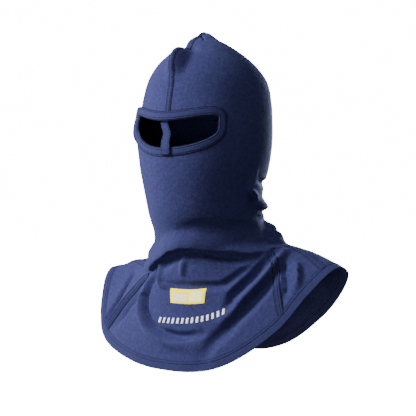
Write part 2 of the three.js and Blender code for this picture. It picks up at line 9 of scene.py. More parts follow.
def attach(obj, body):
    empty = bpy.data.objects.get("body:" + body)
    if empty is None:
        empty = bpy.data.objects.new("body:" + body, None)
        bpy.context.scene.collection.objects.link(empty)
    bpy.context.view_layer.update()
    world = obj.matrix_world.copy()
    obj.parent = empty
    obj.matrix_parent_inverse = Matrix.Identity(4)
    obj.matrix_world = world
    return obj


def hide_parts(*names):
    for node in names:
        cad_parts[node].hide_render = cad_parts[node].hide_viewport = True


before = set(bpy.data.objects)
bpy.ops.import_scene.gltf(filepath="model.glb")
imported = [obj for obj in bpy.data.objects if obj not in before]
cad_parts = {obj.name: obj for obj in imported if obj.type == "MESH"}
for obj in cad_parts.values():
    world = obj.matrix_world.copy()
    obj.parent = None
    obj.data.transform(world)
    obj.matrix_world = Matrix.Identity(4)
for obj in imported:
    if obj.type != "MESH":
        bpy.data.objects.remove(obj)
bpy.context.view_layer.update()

toMetres = 0.001         # everything below is worked out in millimetres
print("frame loaded,", len(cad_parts), "CAD nodes")

# Camera, at the photo's angle
cameraLook = {
    "lens": 85,
    "sensor": 36,
    "azimuth": 31,                 # degrees round from the front
    "elevation": 1,
    "distance": 1240,
    "aim": (4.0, 2.4, -220.0),     # what the middle of the picture looks at
}


def directionFrom(azimuth, elevation):
    turn = math.radians(azimuth)
    rise = math.radians(elevation)
    flat = math.cos(rise)
    return Vector((math.sin(turn) * flat, -math.cos(turn) * flat, math.sin(rise)))


def placeCamera(look):
    data = bpy.data.cameras.new("hood_camera")
    data.lens = look["lens"]
    data.sensor_width = look["sensor"]
    camera = bpy.data.objects.new("hood_camera", data)
    bpy.context.scene.collection.objects.link(camera)
    back = directionFrom(look["azimuth"], look["elevation"])
    camera.location = (Vector(look["aim"]) + back * look["distance"]) * toMetres
    camera.rotation_mode = "QUATERNION"
    camera.rotation_quaternion = (-back).to_track_quat("-Z", "Y")
    bpy.context.scene.camera = camera


placeCamera(cameraLook)
print("camera placed")

# The worn form: level sections from the crown to the hem, millimetres
# Each row: share of the way down, half width, half depth, how far back its middle is, level,
# lift over the shoulders, tilt to one side, sideways slip
sectionTable = [
    (0.00, 0.0, 0.0, -1.0, -4.2, 0.0, 0.0, 0.0),
    (0.02, 16.0, 20.0, 0.0, -8.8, 0.0, 0.0, 0.0),
    (0.05, 33.0, 43.0, 5.3, -18.9, 0.0, 0.0, 0.0),
    (0.09, 47.0, 60.0, 8.2, -29.8, 0.0, 0.0, 0.0),
    (0.13, 60.5, 74.4, 9.0, -43.3, 0.0, 0.0, 0.0),
    (0.17, 72.0, 86.0, 10.3, -61.7, 0.0, 0.0, 0.0),
    (0.22, 78.0, 92.0, 9.0, -88.2, 0.0, 0.0, 0.0),
    (0.27, 80.5, 94.0, 6.0, -113.8, 0.0, 0.0, 0.0),
    (0.33, 80.5, 94.0, 4.0, -144.1, 0.0, 0.0, 0.0),
    (0.38, 77.5, 90.5, 2.0, -170.1, 0.0, 0.0, 0.0),
    (0.44, 71.0, 84.0, 0.0, -199.9, 0.0, 0.0, 0.0),
    (0.50, 67.5, 81.0, 4.0, -228.1, 0.0, 0.0, 0.0),
    (0.55, 70.0, 81.0, 18.0, -252.0, 0.0, 0.0, 0.0),
    (0.60, 79.0, 82.6, 31.2, -273.0, 10.5, 6.0, -0.8),
    (0.66, 93.5, 86.5, 36.9, -298.2, 27.5, 8.0, -2.4),
    (0.74, 116.5, 88.3, 40.2, -328.9, 53.7, 8.0, -4.0),
    (0.83, 139.4, 90.2, 41.0, -361.2, 82.5, 6.0, -4.0),
    (0.92, 160.6, 91.1, 41.0, -391.9, 107.4, 3.2, -4.0),
    (1.00, 176.5, 92.0, 41.0, -420.0, 131.0, 0.0, -4.0),
]
# angle round from the front, share of the lift over the shoulders
shoulderTable = [
    (-180, 0.03), (-150, 0.17), (-134, 0.40), (-118, 0.68), (-100, 0.88), (-88, 0.80),
    (-74, 0.48), (-62, 0.27), (-34, 0.08), (-10, 0.00), (16, 0.06), (42, 0.42),
    (58, 0.76), (74, 0.97), (90, 0.98), (114, 0.80), (140, 0.43), (162, 0.12),
]
# share of the way down, then the angle of each gusset seam
seamTable = [
    (0.66, -74, -38, 66, 81),
    (0.72, -84, -46, 63, 79.5),
    (0.79, -93, -52, 57, 77.5),
    (0.86, -99, -54.5, 51, 75),
    (0.93, -103, -56, 47.5, 73),
    (1.00, -106, -57.5, 46, 72),
]
seamColumns = {"rightRear": 1, "rightFront": 2, "leftFront": 3, "leftRear": 4}

# Folds and dents: name, height, reach to the left and to the right of the line, and the line
# as angle and share. All lengths are millimetres, and the line runs over the outside.
foldTable = [
    ("crownPeak", 6.0, 15, 15, [(0, 0.012), (180, 0.0), (180, 0.05), (180, 0.11)]),
    ("frontPeak", 13.5, 17, 17, [(1.2, 0.165), (1.2, 0.140), (1, 0.113), (0, 0.085)]),
    ("crownValley", -6.6, 15, 14, [(-120, 0.040), (-80, 0.042), (-45, 0.042), (-10, 0.055),
                                   (32, 0.068)]),
    ("crownCrease", -2.2, 3.5, 3.5, [(8, 0.095), (12, 0.072), (17, 0.058)]),
    ("crownNick", -2.0, 3, 3, [(10, 0.008), (34, 0.020), (34, 0.034)]),
    ("eyeEnd", 2.0, 13, 13, [(-47, 0.262), (-50, 0.300), (-49, 0.345)]),
    ("earBuckle", 5.0, 6, 7, [(87, 0.385), (83, 0.434), (98, 0.452)]),
    ("napeNotch", -5.5, 7, 6, [(94, 0.412), (112, 0.420), (135, 0.415)]),
    ("napeRoll", 9.5, 11, 10, [(96, 0.470), (122, 0.474), (150, 0.478), (178, 0.468)]),
    ("napeCrease", 2.5, 7, 7, [(92, 0.490), (122, 0.505), (150, 0.510)]),
    ("collarRoll", 13.0, 18, 18, [(232, 0.570), (205, 0.553), (178, 0.544), (150, 0.541),
                                  (122, 0.543), (106, 0.574), (92, 0.627)]),
    ("collarKnot", 2.5, 12, 12, [(112, 0.608), (100, 0.618), (88, 0.640)]),
    ("chinTuck", -3.0, 10, 14, [(8, 0.530), (25, 0.521), (45, 0.522), (63, 0.524), (88, 0.530)]),
    ("neckRoll", 11.0, 17, 6.0, [(-80, 0.610), (-62, 0.622), (-49, 0.642), (-40, 0.646),
                                (-29, 0.616), (-12, 0.579), (3, 0.566), (15, 0.568), (29, 0.585),
                                (43, 0.610), (54, 0.655), (66, 0.690)]),
    ("tongueRecess", -6.0, 5, 5, [(-31, 0.622), (-29, 0.640), (-28, 0.658)]),
    ("sideRoll", 6.5, 14, 14, [(-130, 0.572), (-100, 0.582), (-75, 0.590), (-50, 0.596),
                               (-34, 0.590)]),
    ("sideRecess", -6.0, 8, 9, [(-84, 0.652), (-62, 0.657), (-46, 0.658), (-34, 0.644)]),
    ("rollRecess", -7.5, 7, 12, [(-24, 0.650), (-10, 0.615), (3, 0.602), (16, 0.602),
                                 (30, 0.622), (44, 0.655), (56, 0.695)]),
    ("throatRidge", 4.5, 7, 8, [(2, 0.590), (1, 0.640), (0.5, 0.672)]),
    ("loopRidge", 6.0, 7, 7, [(-27, 0.628), (-22, 0.670), (-18, 0.698), (-12, 0.704)]),
    ("chestCrease", -5.0, 8, 8, [(-16, 0.697), (0, 0.702), (17, 0.714), (28, 0.733),
                                 (41, 0.720), (57, 0.712)]),
    ("sashGroove", -11.0, 11, 9, [(66, 0.728), (56, 0.740), (49, 0.749), (38.5, 0.764),
                                 (31, 0.782), (26, 0.820)]),
    ("sashRidge", 8.5, 10, 10, [(74, 0.745), (66, 0.760), (52, 0.790), (43, 0.800),
                                (35.5, 0.812), (22, 0.850)]),
    ("lowerGroove", -7.5, 12, 13, [(60, 0.805), (52, 0.818), (42, 0.835), (30, 0.866),
                                   (16, 0.911), (10, 0.960)]),
    ("loopGroove", -10.5, 8, 8, [(-27, 0.669), (-32, 0.706), (-31, 0.750), (-27, 0.800),
                                 (-20, 0.842), (-11, 0.865), (0, 0.876), (12, 0.870)]),
    ("loopSwell", 6.0, 10, 11, [(-32, 0.675), (-37, 0.749), (-31, 0.810), (-20.5, 0.865),
                                (-8, 0.902), (6, 0.912)]),
    ("stripValley", -5.5, 6, 8, [(-37, 0.720), (-44, 0.790), (-47, 0.850), (-50, 0.930)]),
    ("stripRidge", 6.0, 10, 5, [(-42, 0.672), (-50, 0.720), (-55.5, 0.790), (-57.5, 0.860),
                                (-58.5, 0.920), (-59, 0.960)]),
    ("gussetGroove", -12.0, 6, 8, [(-78, 0.770), (-71, 0.810), (-66, 0.860), (-64, 0.915),
                                    (-63, 0.960)]),
    ("gussetRidge", 6.5, 7, 7, [(66, 0.840), (64, 0.865), (60, 0.907), (56, 0.945)]),
    ("gussetDent", -6.0, 6, 6, [(62, 0.800), (58, 0.840), (54, 0.899), (51, 0.930)]),
    ("backSag", -4.0, 12, 14, [(215, 0.640), (180, 0.628), (145, 0.640)]),
    ("backSwell", 4.0, 16, 18, [(225, 0.720), (196, 0.690), (164, 0.690), (135, 0.730)]),
]
ripple = {"height": 0.55, "size": 34.0, "fineHeight": 0.12, "fineSize": 9.0}   # slack in the knit
# the rolls hang over: how far each one leans down
rolls = {"napeRoll": 0.25, "collarRoll": 0.1, "neckRoll": 0.5, "sideRoll": 0.3}
cloth = {
    "wall": 1.8,
    "probe": (0.6, 0.002),         # angle and share between two spots that give the slope
    "foldProbe": (3.0, 0.012),
    "foldSteps": 5,
    "rollFullness": 0.75,          # below 1 a roll is fuller than a fold
}
downward = np.array([0.0, 0.0, -1.0])


def smoothThrough(places, values):
    places = np.array(places, float)
    values = np.array(values, float)
    last = len(places) - 1
    before = np.maximum(np.arange(last + 1) - 1, 0)
    after = np.minimum(np.arange(last + 1) + 1, last)
    slopes = (values[after] - values[before]) / (places[after] - places[before])

    def read(place):
        x = np.clip(place, places[0], places[-1])
        k = np.clip(np.searchsorted(places, x, side="left") - 1, 0, last - 1)
        span = places[k + 1] - places[k]
        t = (x - places[k]) / span
        rise = 3 * t**2 - 2 * t**3
        leave = (t**3 - 2 * t**2 + t) * span
        arrive = (t**3 - t**2) * span
        return (values[k] * (1 - rise) + values[k + 1] * rise
                + slopes[k] * leave + slopes[k + 1] * arrive)

    return read


def tableColumn(table, column):
    return smoothThrough([row[0] for row in table], [row[column] for row in table])


wideAt, deepAt, backAt, levelAt, liftAt, tiltAt, slipAt = (
    tableColumn(sectionTable, column) for column in range(1, 8)
)
seamAngle = {name: tableColumn(seamTable, column) for name, column in seamColumns.items()}
shoulderRing = [(a + turn, s) for turn in (-360, 0, 360) for a, s in shoulderTable]
shoulderAt = tableColumn(shoulderRing, 1)


def plainForm(angle, share):
    angle, share = np.broadcast_arrays(np.asarray(angle, float), np.asarray(share, float))
    turn = np.radians(angle)
    x = wideAt(share) * np.sin(turn) + slipAt(share)
    y = backAt(share) - deepAt(share) * np.cos(turn)
    z = levelAt(share) + liftAt(share) * shoulderAt((angle + 180) % 360 - 180)
    return np.stack([x, y, z + tiltAt(share) * np.sin(turn)], -1)


def unit(v):
    return v / np.maximum(np.linalg.norm(v, axis=-1, keepdims=True), 1e-9)


def outwardOf(form, angle, share, probe=cloth["probe"]):
    share = np.clip(share, probe[1] * 1.5, 1)
    across = form(angle + probe[0], share) - form(angle - probe[0], share)
    lower = np.minimum(share + probe[1], 1)
    upper = np.maximum(share - probe[1], 0)
    return unit(np.cross(form(angle, lower) - form(angle, upper), across))


def foldLine(line):
    spots = np.array(line, float)
    steps = np.linspace(0, len(spots) - 1, (len(spots) - 1) * cloth["foldSteps"] + 1)
    places = np.arange(len(spots))
    return plainForm(np.interp(steps, places, spots[:, 0]), np.interp(steps, places, spots[:, 1]))


foldLines = [(*row[:4], foldLine(row[4])) for row in foldTable]


def foldPush(points, normals):
    push = np.zeros(points.shape)
    for name, high, left, right, line in foldLines:
        reach = max(left, right)
        near = np.all((points > line.min(0) - reach) & (points < line.max(0) + reach), axis=1)
        spots, ups = points[near], normals[near]
        if not len(spots):
            continue
        best = np.full(len(spots), np.inf)
        side = np.zeros(len(spots))
        way = np.zeros(len(spots))
        for k in range(len(line) - 1):
            run = line[k + 1] - line[k]
            part = np.clip((spots - line[k]) @ run / (run @ run), 0, 1)
            gap = spots - line[k] - part[:, None] * run
            far = np.linalg.norm(gap, axis=1)
            closer = far < best
            best = np.where(closer, far, best)
            side = np.where(closer, (gap * np.cross(ups, run)).sum(1), side)
            way = np.where(closer, (k + part) / (len(line) - 1), way)
        width = np.where(side > 0, left, right)
        hump = np.where(best < width, 0.5 + 0.5 * np.cos(np.pi * best / width), 0)
        if name in rolls:
            hump = hump**cloth["rollFullness"]
            ups = unit(ups + rolls[name] * downward)
        hump = high * hump * np.sqrt(np.sin(np.pi * np.clip(way, 0.02, 0.98)))
        push[near] += ups * hump[:, None]
    return push


def slackPush(points):
    coarse = points / ripple["size"]
    fine = points / ripple["fineSize"]
    return np.array([
        ripple["height"] * noise.noise(Vector(a)) + ripple["fineHeight"] * noise.noise(Vector(b))
        for a, b in zip(coarse, fine)
    ])


def drapedForm(angle, share):
    angle, share = np.broadcast_arrays(np.asarray(angle, float), np.asarray(share, float))
    flatAngle, flatShare = angle.ravel(), share.ravel()
    points = plainForm(flatAngle, flatShare)
    normals = outwardOf(plainForm, flatAngle, flatShare, cloth["foldProbe"])
    moved = points + foldPush(points, normals) + normals * slackPush(points)[:, None]
    return moved.reshape(angle.shape + (3,))


def clothSpots(angle, share):
    return drapedForm(angle, share), outwardOf(drapedForm, np.asarray(angle, float), share)


# Mesh helpers
meshing = {"weld": 1e-6, "sharp": 55}     # metres, degrees


def newPiece(name, points, faces, material):
    mesh = bpy.data.meshes.new(name)
    mesh.from_pydata((np.asarray(points) * toMetres).tolist(), [], faces)
    work = bmesh.new()
    work.from_mesh(mesh)
    bmesh.ops.remove_doubles(work, verts=work.verts, dist=meshing["weld"])
    loose = [v for v in work.verts if not v.link_faces]
    bmesh.ops.delete(work, geom=loose, context="VERTS")
    bmesh.ops.recalc_face_normals(work, faces=work.faces)
    work.to_mesh(mesh)
    work.free()
    mesh.shade_smooth()
    mesh.set_sharp_from_angle(angle=math.radians(meshing["sharp"]))
    mesh.materials.append(material)
    piece = bpy.data.objects.new(name, mesh)
    bpy.context.scene.collection.objects.link(piece)
    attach(piece, "root")
    return piece


def sheetPiece(name, top, under, material, ring=False, keep=None):
    # a closed sheet between two grids of points; keep says which cells are there
    rows, columns = top.shape[:2]
    across = columns if ring else columns - 1
    if keep is None:
        keep = np.ones((rows - 1, across), bool)
    half = rows * columns
    here = np.arange(half).reshape(rows, columns)
    faces = []
    for i in range(rows - 1):
        for j in range(across):
            if not keep[i, j]:
                continue
            n = (j + 1) % columns
            a, b, c, d = here[i, j], here[i, n], here[i + 1, n], here[i + 1, j]
            faces.append((a, d, c, b))
            faces.append((a + half, b + half, c + half, d + half))
            before = (j - 1) % across if ring else j - 1
            after = (j + 1) % across if ring else j + 1
            if i == rows - 2 or not keep[i + 1, j]:
                faces.append((d, d + half, c + half, c))
            if i == 0 or not keep[i - 1, j]:
                faces.append((a, b, b + half, a + half))
            if before < 0 or not keep[i, before]:
                faces.append((a, a + half, d + half, d))
            if after >= across or not keep[i, after]:
                faces.append((b, c, c + half, b + half))
    points = np.concatenate([top.reshape(-1, 3), under.reshape(-1, 3)])
    return newPiece(name, points, faces, material)


def tubeFaces(rows, corners, ring):
    faces = []
    for i in range(rows if ring else rows - 1):
        n = (i + 1) % rows
        for j in range(corners):
            m = (j + 1) % corners
            faces.append((i * corners + j, i * corners + m, n * corners + m, n * corners + j))
    if not ring:
        faces.append(tuple(range(corners)))
        faces.append(tuple(range((rows - 1) * corners, rows * corners)))
    return faces


def sweptPiece(name, grid, material, ring=False):
    # a closed section, one row of points each, swept along a line
    return newPiece(name, grid.reshape(-1, 3), tubeFaces(*grid.shape[:2], ring), material)


def lineFrames(points, normals, ring=False):
    if ring:
        run = np.roll(points, -1, 0) - np.roll(points, 1, 0)
    else:
        run = np.gradient(points, axis=0)
    side = unit(np.cross(run, normals))
    return points, unit(np.cross(side, run)), side, unit(run)


def sectionAlong(frames, section, laid=False):
    # section: (sideways, up) for each corner; laid follows the cloth sideways too
    points, ups, sides, _ = frames
    over, high = np.asarray(section, float).T
    grid = points[:, None] + sides[:, None] * over[:, None]
    ups = np.broadcast_to(ups[:, None], grid.shape)
    if laid:
        grid = settled(grid, ups)
    return grid + ups * high[:, None]


def settled(points, ups, room=9.0):
    # points moved along their up directions onto the cloth
    moved = points.copy()
    for spot in np.ndindex(points.shape[:-1]):
        up = Vector(ups[spot])
        hit = clothTree.ray_cast(Vector(points[spot]) + up * room, -up, 2 * room)[0]
        if hit is not None:
            moved[spot] = hit
    return moved


def laidLine(frames, over):
    points, ups, sides, run = frames
    return settled(points + sides * over, ups), ups, sides, run


def resample(points, normals, gap, ring=False):
    # even steps along a line
    if ring:
        points = np.concatenate([points, points[:1]])
        normals = np.concatenate([normals, normals[:1]])
    steps = np.concatenate([[0], np.cumsum(np.linalg.norm(np.diff(points, axis=0), axis=1))])
    count = max(int(round(steps[-1] / gap)), 3)
    spots = np.linspace(0, steps[-1], count + 1)
    spots = spots[:-1] if ring else spots
    even = np.stack([np.interp(spots, steps, points[:, k]) for k in range(3)], -1)
    ups = np.stack([np.interp(spots, steps, normals[:, k]) for k in range(3)], -1)
    return even, unit(ups)


stitch = {
    "length": 2.7,
    "gap": 1.1,
    "thick": 0.62,
    "sides": 6,
    "shape": ((-0.5, 0.25), (-0.3, 1.0), (0.3, 1.0), (0.5, 0.25)),   # along it, how fat
    # thickness of the painted shade strips
    "shadeLineThick": 0.5,
    "rowDeep": 0.35,      # how far a row sits into its band
    "shadeLineDeep": 0.40,     # and the painted shade line in the groove under it
    # width of the painted shade line under a row
    "line": 1.1,
}


def stitchRow(frames, over, high, ring=False):
    # thread ends of one row of stitches as points and faces, laid along a line
    points, ups, sides, _ = frames
    path = points + sides * over + ups * high
    path, up = resample(path, ups, (stitch["length"] + stitch["gap"]) / 2, ring)
    corners = []
    faces = []
    turns = np.linspace(0, 2 * np.pi, stitch["sides"], endpoint=False)
    profile = stitch["shape"]
    for k in range(0, len(path) - 1, 2):
        run = unit(path[k + 1] - path[k])
        side = unit(np.cross(run, up[k]))
        middle = (path[k] + path[k + 1]) / 2
        base = len(corners)
        for along, fat in profile:
            centre = middle + run * along * stitch["length"]
            radius = stitch["thick"] / 2 * fat
            for turn in turns:
                corners.append(centre + (side * np.cos(turn) + up[k] * np.sin(turn)) * radius)
        count = stitch["sides"]
        for ringRow in range(len(profile) - 1):
            for j in range(count):
                a = base + ringRow * count + j
                b = base + ringRow * count + (j + 1) % count
                faces.append((a, b, b + count, a + count))
        faces.append(tuple(base + j for j in range(count)))
        faces.append(tuple(base + (len(profile) - 1) * count + j for j in range(count)))
    return corners, faces


def paintedShadeLine(frames, over, high, width, ring=False):
    # a strip of painted shade: the shade in the groove under a row of stitches, or the shadow
    # beside a band's edge
    half = width / 2
    low = high - stitch["shadeLineThick"]
    section = ((over - half, low), (over - half, high), (over + half, high), (over + half, low))
    grid = sectionAlong(frames, section)
    return list(grid.reshape(-1, 3)), tubeFaces(*grid.shape[:2], ring)


def stitchPiece(name, rows, material):
    corners = []
    faces = []
    for rowCorners, rowFaces in rows:
        start = len(corners)
        corners += rowCorners
        faces += [tuple(start + k for k in face) for face in rowFaces]
    return newPiece(name, corners, faces, material)


# Materials
def knitMaterial(name, colour, look):
    material = bpy.data.materials.new(name)
    material.use_nodes = True
    nodes = material.node_tree.nodes
    links = material.node_tree.links
    nodes.clear()

    def add(kind, **values):
        node = nodes.new(kind)
        for key, value in values.items():
            if hasattr(node, key):
                setattr(node, key, value)
            else:
                node.inputs[key.replace("_", " ")].default_value = value
        return node

    output = add("ShaderNodeOutputMaterial")
    surface = add("ShaderNodeBsdfPrincipled", Roughness=look["roughness"])
    surface.inputs["Sheen Weight"].default_value = look["sheen"]
    surface.inputs["Sheen Roughness"].default_value = look["sheenRoughness"]
    surface.inputs["Sheen Tint"].default_value = (*look["sheenTint"], 1)
    surface.inputs["Specular IOR Level"].default_value = look["specular"]
    # emission in the material's own colour: painted light wherever the look has a glow
    surface.inputs["Emission Color"].default_value = (*colour, 1)
    surface.inputs["Emission Strength"].default_value = look["glow"]
    links.new(surface.outputs[0], output.inputs["Surface"])
    place = add("ShaderNodeTexCoord")

    mottle = add("ShaderNodeTexNoise", Scale=look["mottleScale"], Detail=5.0, Roughness=0.65)
    links.new(place.outputs["Object"], mottle.inputs["Vector"])
    shade = add("ShaderNodeValToRGB")
    dark = [c * (1 - look["mottle"]) for c in colour]
    light = [min(c * (1 + look["mottle"]), 1) for c in colour]
    shade.color_ramp.elements[0].position = 0.32
    shade.color_ramp.elements[0].color = (*dark, 1)
    shade.color_ramp.elements[1].position = 0.68
    shade.color_ramp.elements[1].color = (*light, 1)
    links.new(mottle.outputs["Fac"], shade.inputs["Fac"])

    # darker in the gaps between the knit loops, where the bump sinks them: painted shade in the
    # gaps
    loops = add("ShaderNodeTexVoronoi", Scale=look["loopScale"])
    links.new(place.outputs["Object"], loops.inputs["Vector"])
    paintedGapShade = add("ShaderNodeMapRange")
    paintedGapShade.inputs["From Min"].default_value = 0.0
    paintedGapShade.inputs["From Max"].default_value = 0.7
    paintedGapShade.inputs["To Min"].default_value = 1.0
    paintedGapShade.inputs["To Max"].default_value = 1 - look["loopGapShade"]
    links.new(loops.outputs["Distance"], paintedGapShade.inputs["Value"])
    tint = add("ShaderNodeMix", data_type="RGBA", blend_type="MULTIPLY")
    tint.inputs["Factor"].default_value = 1.0
    links.new(shade.outputs["Color"], tint.inputs["A"])
    links.new(paintedGapShade.outputs["Result"], tint.inputs["B"])
    links.new(tint.outputs["Result"], surface.inputs["Base Color"])

    fuzz = add("ShaderNodeTexNoise", Scale=look["fuzzScale"], Detail=3.0, Roughness=0.6)
    links.new(place.outputs["Object"], fuzz.inputs["Vector"])
    loopBump = add("ShaderNodeBump", Strength=look["loopBump"], invert=True)
    loopBump.inputs["Distance"].default_value = look["loopDepth"] * toMetres
    links.new(loops.outputs["Distance"], loopBump.inputs["Height"])
    fuzzBump = add("ShaderNodeBump", Strength=look["fuzzBump"])
    fuzzBump.inputs["Distance"].default_value = look["fuzzDepth"] * toMetres
    links.new(fuzz.outputs["Fac"], fuzzBump.inputs["Height"])
    links.new(loopBump.outputs["Normal"], fuzzBump.inputs["Normal"])
    links.new(fuzzBump.outputs["Normal"], surface.inputs["Normal"])
    return material


knitLook = {
    "roughness": 0.88,
    "sheen": 0.16,
    "sheenRoughness": 0.5,
    "sheenTint": (0.34, 0.42, 1.0),
    "specular": 0.08,
    "mottle": 0.20,
    "mottleScale": 260.0,
    "loopScale": 900.0,
    "loopGapShade": 0.35,
    "loopBump": 0.5,
    "loopDepth": 0.35,
    "fuzzScale": 420.0,
    "fuzzBump": 0.6,
    "fuzzDepth": 0.6,
    "glow": 0.0,
}
navy = (0.046, 0.052, 0.166)
navyDeep = (0.041, 0.047, 0.147)
# dark navy of the stitching thread, also the colour of the painted shade lines in the stitch
# grooves and beside the bands
threadAndShadeNavy = (0.011, 0.012, 0.032)
bodyKnit = knitMaterial("navy_jersey", navy, knitLook)
gussetKnit = knitMaterial("navy_jersey_side", navy, knitLook)
bandKnit = knitMaterial("navy_band", navyDeep, {**knitLook, "loopScale": 1200.0, "mottle": 0.08})
thread = knitMaterial("navy_thread_and_painted_shade", threadAndShadeNavy, {**knitLook, "sheen": 0.2, "fuzzDepth": 0.1})
# the label glows in its own colours: painted light, emission that makes it look brightly lit
labelLook = {**knitLook, "roughness": 0.6, "sheen": 0.0, "mottle": 0.05, "loopGapShade": 0.1,
             "loopDepth": 0.1, "fuzzDepth": 0.1, "glow": 0.95}
labelYellow = knitMaterial("label_yellow", (1.0, 0.82, 0.0), labelLook)
labelCream = knitMaterial("label_cream", (1.0, 0.92, 0.42), labelLook)
labelGrey = knitMaterial("label_grey", (0.80, 0.74, 0.56), labelLook)
# the white bar thread glows too: painted light
whiteThread = knitMaterial("white_thread", (0.84, 0.85, 0.88), {
    **labelLook, "glow": 0.6,
})
print("materials made")

# Studio
studio = {
    "floor": -421.0,
    "floorSize": 24000.0,
    "floorColour": (0.80, 0.80, 0.80),
    "floorGlow": 16.0,
    "domeGlow": 16.0,
    "worldColour": (0.80, 0.88, 1.0),
    "worldStrength": 0.022,
    "lights": [
        # name, azimuth, elevation, distance, width, strength, colour
        ("key", -36, 31, 1500, 600, 44, (1.0, 0.96, 0.97)),
        ("side", -84, -4, 1500, 600, 14, (1.0, 0.96, 1.0)),
        ("wrap", -178, 6, 1500, 600, 34, (0.80, 0.88, 1.0)),
        ("top", 85, 60, 1500, 500, 5, (0.96, 0.96, 1.0)),
        ("fill", 10, -6, 2000, 900, 11, (1.0, 0.96, 1.0)),
    ],
}


def plainMaterial(name, colour, glow):
    material = bpy.data.materials.new(name)
    material.use_nodes = True
    surface = material.node_tree.nodes["Principled BSDF"]
    surface.inputs["Base Color"].default_value = (*colour, 1)
    surface.inputs["Roughness"].default_value = 0.9
    surface.inputs["Emission Color"].default_value = (1, 1, 1, 1)
    surface.inputs["Emission Strength"].default_value = glow
    return material


def buildStudio(setup):
    half = setup["floorSize"] / 2 * toMetres
    level = setup["floor"] * toMetres
    mesh = bpy.data.meshes.new("floor")
    mesh.from_pydata([(-half, -half, level), (half, -half, level), (half, half, level),
                      (-half, half, level)], [], [(0, 1, 2, 3)])
    floor = bpy.data.objects.new("floor", mesh)
    mesh.materials.append(plainMaterial("floor_paper", setup["floorColour"], setup["floorGlow"]))
    work = bmesh.new()
    bmesh.ops.create_uvsphere(work, u_segments=48, v_segments=24, radius=half * 0.98)
    mesh = bpy.data.meshes.new("backdrop")
    work.to_mesh(mesh)
    work.free()
    mesh.materials.append(plainMaterial("backdrop_paper", (0, 0, 0), setup["domeGlow"]))
    dome = bpy.data.objects.new("backdrop", mesh)
    for piece in (floor, dome):
        bpy.context.scene.collection.objects.link(piece)
        piece.visible_diffuse = False
        piece.visible_glossy = False
        piece.visible_shadow = False
    world = bpy.data.worlds.new("studio")
    bpy.context.scene.world = world
    world.use_nodes = True
    light = world.node_tree.nodes["Background"]
    light.inputs["Color"].default_value = (*setup["worldColour"], 1)
    light.inputs["Strength"].default_value = setup["worldStrength"]
    middle = Vector(cameraLook["aim"])
    for name, azimuth, elevation, distance, width, strength, colour in setup["lights"]:
        data = bpy.data.lights.new(name, "AREA")
        data.shape = "DISK"
        data.size = width * toMetres
        data.energy = strength
        data.color = colour
        lamp = bpy.data.objects.new(name, data)
        away = directionFrom(azimuth, elevation)
        lamp.location = (middle + away * distance) * toMetres
        lamp.rotation_mode = "QUATERNION"
        lamp.rotation_quaternion = (-away).to_track_quat("-Z", "Y")
        bpy.context.scene.collection.objects.link(lamp)


buildStudio(studio)
print("studio built")

# Grid of the cloth: columns lean over to the gusset seams below the neck
hem = {"width": 14.0, "lap": 1.0}
hemUnit = float(np.linalg.norm(plainForm(0, 1.0) - plainForm(0, 0.9)) / 0.1)
hemTop = 1 - hem["width"] / hemUnit
gussetTop = {"left": 0.70, "right": 0.66}
fineness = 1.0
panelTable = [
    # line, angle on the head, columns after it
    ("rightRear", -82, 38),
    ("rightFront", -42, 31),
    ("front", 1.2, 44),
    ("leftFront", 60, 16),
    ("leftRear", 77, 46),
    ("back", 180, 34),
]
rowTable = [
    # from, to, rows
    (0.00, 0.13, 24),
    (0.13, 0.40, 46),
    (0.40, 0.72, 104),
    (0.72, 1.00, 52),
]
seamsFrom = 0.5


def panelAngles(share):
    lean = np.clip((share - seamsFrom) / (seamTable[0][0] - seamsFrom), 0, 1)
    lean = lean * lean * (3 - 2 * lean)
    angles = []
    for line, angle, _ in panelTable:
        bent = seamAngle[line](share) if line in seamAngle else angle
        angles.append(angle + (bent - angle) * lean)
    return np.array(angles + [angles[0] + 360])


def clothGrid():
    shares = []
    for low, high, count in rowTable:
        count = max(int(count * fineness), 4)
        shares += list(low + (high - low) * np.arange(count) / count)
    lap = hemTop + hem["lap"] / hemUnit
    shares = [s for s in shares if s < hemTop - 0.002] + [lap]
    # a row right at the top of each gusset
    for top in gussetTop.values():
        nearest = int(np.argmin(np.abs(np.array(shares) - top)))
        shares[nearest] = top
    starts = []
    counts = []
    for _, _, count in panelTable:
        count = max(int(count * fineness), 3)
        starts.append(sum(counts))
        counts.append(count)
    angles = np.zeros((len(shares), sum(counts)))
    for i, share in enumerate(shares):
        edges = panelAngles(share)
        row = [edges[k] + (edges[k + 1] - edges[k]) * np.arange(counts[k]) / counts[k]
               for k in range(len(counts))]
        angles[i] = np.concatenate(row)
    lines = {name: start for (name, _, _), start in zip(panelTable, starts)}
    return angles, np.array(shares), lines


gridAngles, gridShares, gridLines = clothGrid()
gridAll = np.broadcast_to(gridShares[:, None], gridAngles.shape)
gridTop = drapedForm(gridAngles, gridAll)
gridUp = outwardOf(drapedForm, gridAngles, gridAll)
gridUp[0] = (0, 0, 1)
gridTop[0] = gridTop[0].mean(0)
gridUnder = gridTop - gridUp * cloth["wall"]


def treeOf(grid):
    rows, columns = grid.shape[:2]
    here = np.arange(rows * columns).reshape(rows, columns)
    after = np.roll(here, -1, 1)
    quads = np.stack([here[:-1], after[:-1], after[1:], here[1:]], -1).reshape(-1, 4)
    return BVHTree.FromPolygons(grid.reshape(-1, 3).tolist(), quads.tolist())


clothTree = treeOf(gridTop)
print("cloth grid", gridTop.shape[:2])

